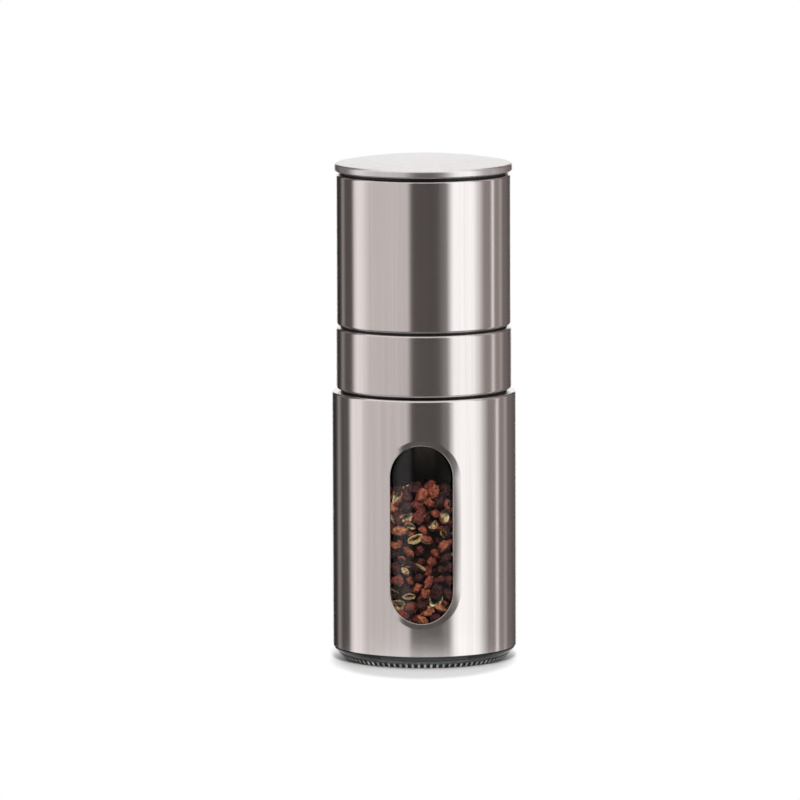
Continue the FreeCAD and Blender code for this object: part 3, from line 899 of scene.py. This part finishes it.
def jar_piece():
    """Jar with a knurled heel, a hollow under its foot, a shoulder and a threaded neck."""
    foot_radius, bottom, top = turned_size("glass_jar")
    bearing = foot_radius - heel_width
    runs = divided(jar_runs(bearing, foot_radius, bottom, top), glass_row)
    points, normals, faces = turned_grid(runs, glass_columns)
    angles = np.arctan2(points[:, 1], points[:, 0])
    radii = np.hypot(points[:, 0], points[:, 1])
    heights = points[:, 2]
    on_heel = radii > bearing - heel_radius / 2
    points = points - normals * (knurl_cut(angles, heights) * on_heel)[:, None]
    on_neck = (heights > shoulder_top + thread_clear) & (np.abs(radii - neck_radius) < neck_tolerance)
    points = points + normals * (thread_rise(angles, heights) * on_neck)[:, None]
    # The foot takes the near-black glass of painted shade.
    on_foot = (heights < glass_floor - foot_margin) & (radii > bearing - bearing_width - foot_margin)
    # The low ridges of the heel take the pale dashes of painted glints.
    on_glint_dash = on_heel & (heights < glint_dash_top) & (np.cos(knurl_count * angles) < glint_dash_share)
    face_materials = [int(on_foot[list(face)].all()) + int(on_glint_dash[list(face)].all()) for face in faces]
    piece = add_piece("jar_glass", points, faces, [glass, shaded_foot_glass, glint_dash_glass], face_materials)
    piece.data.set_sharp_from_angle(angle=math.radians(sharp_angle))
    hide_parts("glass_jar")
    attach(piece, "jar")


# Peppercorns

class Heap:
    """Collects the pods of the heap in one mesh."""

    def __init__(self):
        self.points, self.faces, self.kinds, self.tones = [], [], [], []

    def add(self, points, faces, kinds, tone):
        start = len(self.points)
        self.points.extend(points.tolist())
        self.faces.extend(tuple(start + point for point in face) for face in faces)
        self.kinds.extend(kinds)
        self.tones.extend([tone] * len(points))


def ball_grid(around_count, up_count, open_share=0.0):
    """Directions over a ball from its top pole down, with faces, stopping short for an open one."""
    directions, faces = [(0.0, 0.0, 1.0)], []
    for row in range(1, up_count + 1):
        fall = math.pi * (1 - open_share) * row / up_count
        girth, height = math.sin(fall), math.cos(fall)
        for column in range(around_count):
            turn = 2 * math.pi * column / around_count
            directions.append((girth * math.cos(turn), girth * math.sin(turn), height))
    for column in range(around_count):
        following = (column + 1) % around_count
        faces.append((0, 1 + column, 1 + following))
        for row in range(up_count - 1):
            here = 1 + row * around_count
            below = here + around_count
            faces.append((here + column, below + column, below + following, here + following))
    return np.array(directions), faces


def random_turn(draw):
    """A seeded rotation, even over all directions."""
    return np.array(Quaternion(unit(draw.normal(size=4))).to_matrix())


def facing_turn(draw, place):
    """A seeded rotation that points a cup's mouth away from the jar's axis, more or less."""
    outwards = unit(np.array([place[0], place[1], 0.0]))
    mouth = unit(outwards + cup_stray * draw.normal(size=3))
    side = unit(np.cross(mouth, draw.normal(size=3)))
    return np.stack([side, np.cross(side, mouth), -mouth], axis=1)


def wrinkled(directions, draw, depth):
    """Radius over a ball with seeded lumps and ribs."""
    radius = np.ones(len(directions))
    for wave in lump_waves:
        axis = unit(draw.normal(size=3))
        phase = draw.uniform(0, 2 * math.pi)
        radius += depth * lump_depth / wave * np.sin(wave * lump_pitch * directions @ axis + phase)
    angles = np.arctan2(directions[:, 1], directions[:, 0])
    girth = np.hypot(directions[:, 0], directions[:, 1])
    return radius + rib_depth * depth * girth * np.cos(rib_count * angles + draw.uniform(0, full_phase))


def closed_pod(draw, size):
    """Shrivelled whole pod with a seam down one side."""
    directions, faces = ball_grid(*pod_grid)
    radius = wrinkled(directions, draw, pod_wrinkle)
    in_seam = (np.abs(directions[:, 1]) < seam_width) & (directions[:, 0] > 0)
    radius = radius - seam_depth * in_seam
    shape = np.array([1.0, draw.uniform(*pod_widths), draw.uniform(*pod_heights)])
    return directions * radius[:, None] * shape * size / 2, faces, [red] * len(faces)


def open_pod(draw, size):
    """Burst pod: a cup with a thick pale wavy rim, and painted shade as a dark husk on the deepest part
    of its inside.
    """
    around_count, up_count = cup_grid
    directions, faces = ball_grid(around_count, up_count, draw.uniform(*cup_mouths))
    radius = wrinkled(directions, draw, cup_wrinkle)
    shape = np.array([1.0, draw.uniform(*cup_widths), draw.uniform(*cup_heights)])
    outer = directions * radius[:, None] * shape * size / 2
    angles = np.arctan2(directions[:, 1], directions[:, 0])
    rim_wave = cup_wave * size * np.sin(2 * angles + draw.uniform(0, full_phase))
    outer[:, 2] += rim_wave * smooth_step(-directions[:, 2], *wave_reach)
    inner = outer * (1 - cup_wall * size / np.linalg.norm(outer, axis=1))[:, None]
    count = len(outer)
    all_faces = faces + [tuple(point + count for point in reversed(face)) for face in faces]
    # The deepest rows inside the cup take the dark husk, painted shade where the cup is deepest.
    deep_rows = up_count // 3
    inner_kinds = [hollow] * deep_rows + [pale] * (up_count - deep_rows)
    kinds = [red] * len(faces) + inner_kinds * around_count
    rim = 1 + (up_count - 1) * around_count
    for column in range(around_count):
        following = (column + 1) % around_count
        all_faces.append((rim + following, rim + column, rim + column + count, rim + following + count))
        kinds.append(pale)
    return np.concatenate([outer, inner]), all_faces, kinds


def seed_ball(draw, size):
    """Glossy black seed."""
    directions, faces = ball_grid(*seed_grid)
    shape = np.array([1.0, seed_width, draw.uniform(*seed_heights)])
    return directions * shape * size / 2, faces, [seed] * len(faces)


def stem_tube(draw, length):
    """Short bent stem, thicker at its ends."""
    sides, steps = stem_grid
    bend = draw.uniform(*stem_bends) * length
    points = []
    for step in range(steps + 1):
        share = step / steps
        girth = stem_girth + stem_flare * abs(2 * share - 1) + stem_knot * math.sin(stem_knots * share)
        for side in range(sides):
            turn = 2 * math.pi * side / sides
            across = bend * 4 * share * (1 - share) + girth * math.cos(turn)
            points.append((length * (share - 0.5), across, -girth * math.sin(turn)))
    faces = tube_faces(sides, steps)
    return np.array(points), faces, [stem] * len(faces)


def around(radius, turn, height):
    """A place at an angle round the axis, counted in radians from the window."""
    return np.array([radius * math.sin(turn), -radius * math.cos(turn), height])


def front_turn(draw):
    """A seeded angle in radians, on the window's side."""
    return math.radians(draw.uniform(-front_half_angle, front_half_angle))


def pod_places(draw, limit, bottom, edge_top, top):
    """Seeded places of the pods: layers behind the window, and the whole mounded top of the heap."""
    places = np.full((wall_pods + heap_pods, 3), np.inf)
    count = 0

    def keep(place, most):
        nonlocal count
        nearest = np.linalg.norm(places[:count] - place, axis=1).min(initial=np.inf)
        if count < most and nearest > pod_spacing:
            places[count] = place
            count += 1

    half = pod_size / 2
    for attempt in range(wall_pods * tries_per_pod):
        depth = draw.uniform(0, 1) ** wall_bias * wall_layer
        turn = front_turn(draw)
        height = draw.uniform(bottom + half, edge_top - heap_sink)
        height += heap_stray * draw.uniform(0, 1) ** stray_bias
        keep(around(limit - half - depth, turn, height), wall_pods)
    for attempt in range(heap_pods * tries_per_pod):
        radius = (limit - half) * math.sqrt(draw.uniform(0, 1))
        surface = top - (top - edge_top) * radius / limit
        height = surface - half - draw.uniform(0, mound_layer)
        keep(around(radius, draw.uniform(-math.pi, math.pi), height), len(places))
    return places[:count]


def settled(points, place, limit, bottom, top):
    """Points moved to their place and kept inside the jar."""
    moved = points + place
    over = np.hypot(moved[:, 0], moved[:, 1]).max() - limit
    if over > 0:
        moved = moved - unit(np.array([place[0], place[1], 0.0])) * over
        reach = np.hypot(moved[:, 0], moved[:, 1])
        trim = np.minimum(1.0, limit / np.maximum(reach, tiny))
        moved[:, :2] *= trim[:, None]
    moved[:, 2] += max(0.0, bottom - moved[:, 2].min()) - max(0.0, moved[:, 2].max() - top)
    return moved


def heap_core(limit, bottom, edge_top):
    """Lumpy inside of the heap, coloured near-black as painted shade, which shows only as dark gaps
    between the pods.
    """
    directions, faces = ball_grid(*core_grid)
    upright = np.sign(directions[:, 2]) * np.abs(directions[:, 2]) ** core_fullness
    girth = np.sqrt(np.maximum(0.0, 1 - upright ** core_ends))
    angles = np.arctan2(directions[:, 1], directions[:, 0])
    lumps = sum(share * np.sin(rounds * angles + rises * upright) for rounds, rises, share in core_waves)
    radius = (limit - core_inset + core_lump * lumps) * girth
    core_top = edge_top - core_drop
    height = (bottom + core_top) / 2 + upright * (core_top - bottom) / 2 * core_squash
    points = np.stack([radius * np.cos(angles), radius * np.sin(angles), height], axis=1)
    return points, faces, [core] * len(faces)


def heap_piece():
    """The peppercorns: whole and burst pods, seeds and stems, packed against the glass."""
    draw = np.random.default_rng(pod_seed)
    limit, bottom, top = turned_size("peppercorn_fill")
    edge_top = top - mound_height
    heap = Heap()
    heap.add(*heap_core(limit, bottom, edge_top), core_tone)
    for place in pod_places(draw, limit, bottom, edge_top, top):
        size = pod_size * draw.uniform(*pod_scales)
        if draw.uniform() < cup_share:
            points, faces, kinds = open_pod(draw, size)
            points = points @ facing_turn(draw, place).T
        else:
            points, faces, kinds = closed_pod(draw, size)
            points = points @ random_turn(draw).T
        points = settled(points, place, limit, bottom, top + heap_rise)
        tone = tone_low + (tone_high - tone_low) * draw.uniform(0, 1) ** tone_bias
        heap.add(points, faces, kinds, tone)
    loose = ((seed_count, seed_ball, seed_sizes), (stem_count, stem_tube, stem_lengths))
    for count, maker, sizes in loose:
        for number in range(count):
            turn = front_turn(draw)
            radius = limit - draw.uniform(*loose_depths)
            place = around(radius, turn, draw.uniform(bottom + loose_foot, edge_top - loose_head))
            points, faces, kinds = maker(draw, draw.uniform(*sizes))
            points = settled(points @ random_turn(draw).T, place, limit, bottom, top)
            heap.add(points, faces, kinds, draw.uniform(tone_low, tone_high))
    piece = add_piece("peppercorns", heap.points, heap.faces, heap_skins, heap.kinds)
    tones = piece.data.attributes.new("tone", "FLOAT", "POINT")
    tones.data.foreach_set("value", heap.tones)
    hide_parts("peppercorn_fill")
    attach(piece, "jar")


shell_piece("head_shell", "head", polished_steel)
shell_piece("collar_ring", "collar", brushed_steel)
lid_piece()
sleeve_piece()
jar_piece()
heap_piece()
spring_piece()
dress_nodes({
    "head_shell", "collar_ring", "lid_cap", "steel_sleeve", "glass_jar", "peppercorn_fill", "burr_spring",
})


# Studio

def seen_directly(tree):
    """1 for rays from the camera and for those that metal and glass send on."""
    path = add_node(tree, "LightPath")
    either = calculate(tree, "MAXIMUM", path["Is Camera Ray"], path["Is Glossy Ray"])
    return calculate(tree, "MAXIMUM", either, path["Is Transmission Ray"])


def white_world():
    """White wherever it is seen, and a plain level as light."""
    world = bpy.data.worlds.new("studio")
    world.use_nodes = True
    bpy.context.scene.world = world
    tree = world.node_tree
    feed(tree, tree.nodes["Background"], {
        "Color": (1.0, 1.0, 1.0, 1.0),
        "Strength": remap(tree, seen_directly(tree), 0.0, 1.0, world_level, 1.0),
    })


def floor_material():
    """White table: a painted glow, left out by place in an ellipse round the foot, so that the lamps'
    real shadow shows there and fades to white round it.
    """
    material, tree, shader = new_material("floor")
    place = add_node(tree, "TexCoord")["Object"]
    away = add_node(tree, "VectorMath", {0: place}, operation="LENGTH")["Value"]
    # Painted glow: the floor glows white only away from the foot, so the reach of the grey halo is set by
    # place.
    beyond = remap(tree, away, shadow_inner * MM, shadow_outer * MM, 0.0, 1.0, "SMOOTHSTEP")
    glow = remap(tree, seen_directly(tree), 0.0, 1.0, 0.0, floor_glow)
    feed(tree, shader, {
        "Base Color": (floor_tone, floor_tone, floor_tone, 1.0),
        "Roughness": 0.9,
        "Specular IOR Level": 0.0,
        "Emission Color": (1.0, 1.0, 1.0, 1.0),
        "Emission Strength": calculate(tree, "MULTIPLY", glow, beyond),
    })
    return material


def floor():
    """Small table top, mostly in front of the mill."""
    points = [(0.0, 0.0, -floor_drop)]
    for step in range(floor_steps):
        turn = 2 * math.pi * step / floor_steps
        points.append((floor_radius * math.cos(turn), floor_radius * math.sin(turn), -floor_drop))
    faces = [(0, 1 + step, 1 + (step + 1) % floor_steps) for step in range(floor_steps)]
    table = add_piece("floor", points, faces, [floor_material()])
    table.location.y = -floor_ahead * MM
    table.scale.x = floor_narrowing


# Soft panels of the tent: from and to, the fade at each side, level and tint.
# Angles are seen from above, from the camera's side of the mill, positive to its right.
cool_light = (0.985, 0.99, 1.0)
white_light = (1.0, 0.975, 0.965)
warm_light = (1.0, 0.945, 0.945)
amber_light = (1.0, 0.87, 0.84)
panels = [
    (-142.0, 142.0, 10.0, 10.0, 0.06, amber_light),
    (-137.0, -128.0, 4.0, 4.0, 0.2, warm_light),
    (-105.0, -18.0, 9.0, 7.0, 0.56, warm_light),
    (-104.0, -82.0, 9.0, 16.0, 0.32, white_light),
    (22.0, 36.0, 12.0, 8.0, 0.12, warm_light),
    (34.5, 77.0, 11.0, 24.0, 1.17, cool_light),
    (76.0, 127.0, 12.0, 6.0, 0.18, amber_light),
    (100.5, 105.5, 2.5, 2.5, 0.75, white_light),
    (117.5, 124.5, 3.0, 3.0, 0.18, amber_light),
    (128.0, 156.0, 8.0, 6.0, 0.09, amber_light),
]
ground_panels = [(-181.0, 181.0, 1.0, 1.0, 0.12, warm_light)]


def tent_angle(tree):
    """Angle round the mill in degrees, from the tent's front."""
    place = add_node(tree, "TexCoord")["Object"]
    parts = add_node(tree, "SeparateXYZ", {"Vector": place})
    front = calculate(tree, "MULTIPLY", parts["Y"], -1.0)
    return calculate(tree, "DEGREES", calculate(tree, "ARCTAN2", parts["X"], front))


def panel_edge(tree, angle, place, fade, before, after):
    """A smooth edge of a panel, half of the fade to each side of its place."""
    return remap(tree, angle, place - fade / 2, place + fade / 2, before, after, "SMOOTHSTEP")


def tent_material(lit_panels):
    """Light of the tent by its angle round the mill: dark cloth with folds and soft panels."""
    material, tree, shader = new_material("tent")
    tree.nodes.remove(shader)
    angle = tent_angle(tree)
    light = add_node(tree, "RGB")[0]
    light.default_value = (*dimmed(amber_light, tent_dark), 1.0)
    for start, end, start_fade, end_fade, level, tint in lit_panels:
        rising = panel_edge(tree, angle, start, start_fade, 0.0, 1.0)
        falling = panel_edge(tree, angle, end, end_fade, 1.0, 0.0)
        sources = {0: dimmed(tint, level), "Scale": calculate(tree, "MULTIPLY", rising, falling)}
        panel = add_node(tree, "VectorMath", sources, operation="SCALE")["Vector"]
        light = add_node(tree, "VectorMath", {0: light, 1: panel}, operation="ADD")["Vector"]
    sources = {"W": angle, "Scale": fold_scale, "Detail": 2.0}
    folds = add_node(tree, "TexNoise", sources, noise_dimensions="1D")["Fac"]
    strength = spread(tree, folds, 1 - fold_depth, 1 + fold_depth)
    glow = add_node(tree, "Emission", {"Color": light, "Strength": strength})["Emission"]
    feed(tree, tree.nodes["Material Output"], {"Surface": glow})
    return material


def tent():
    """Cloth round the mill, open behind it and dark below. The camera looks in through it."""
    points = []
    for step in range(tent_steps + 1):
        turn = math.radians(tent_half_angle * (2 * step / tent_steps - 1))
        points += [around(tent_radius, turn, height) for height in (tent_bottom, tent_top)]
    faces = [(2 * step, 2 * step + 1, 2 * step + 3, 2 * step + 2) for step in range(tent_steps)]
    face_materials = [0] * len(faces) + [1]
    faces.append(tuple(range(0, 2 * tent_steps + 1, 2)))
    skins = [tent_material(panels), tent_material(ground_panels)]
    cloth = add_piece("tent", points, faces, skins, face_materials)
    cloth.rotation_euler = (0.0, 0.0, math.radians(camera_azimuth))
    cloth.visible_camera = False


def area_lamp(name, place, aim, size, watts):
    """Soft square lamp that lights dull surfaces and isn't seen itself."""
    lamp = bpy.data.lights.new(name, "AREA")
    lamp.size = size * MM
    lamp.energy = watts
    holder = bpy.data.objects.new(name, lamp)
    holder.location = Vector(place) * MM
    holder.rotation_euler = (Vector(place) - Vector(aim)).to_track_quat("Z", "Y").to_euler()
    holder.visible_camera = holder.visible_glossy = holder.visible_transmission = False
    bpy.context.scene.collection.objects.link(holder)


def camera():
    """Long lens at the photograph's angle."""
    data = bpy.data.cameras.new("camera")
    data.lens = camera_lens
    data.sensor_width = camera_sensor
    data.shift_x, data.shift_y = camera_shift
    holder = bpy.data.objects.new("camera", data)
    place = Vector(around(camera_distance, math.radians(camera_azimuth), camera_height)) * MM
    aim = Vector((0.0, 0.0, camera_aim)) * MM
    look = (place - aim).to_track_quat("Z", "Y").to_matrix().to_4x4()
    roll = Matrix.Rotation(math.radians(camera_roll), 4, "Z")
    holder.matrix_world = Matrix.Translation(place) @ look @ roll
    bpy.context.scene.collection.objects.link(holder)
    bpy.context.scene.camera = holder


white_world()
floor()
tent()
area_lamp("front_lamp", place=(30.0, -475.0, 420.0), aim=(0.0, 0.0, 40.0), size=150.0, watts=5.0)
area_lamp("top_lamp", place=(100.0, -100.0, 1000.0), aim=(0.0, 0.0, 0.0), size=700.0, watts=2.5)
camera()
bpy.context.scene.view_settings.view_transform = "Standard"
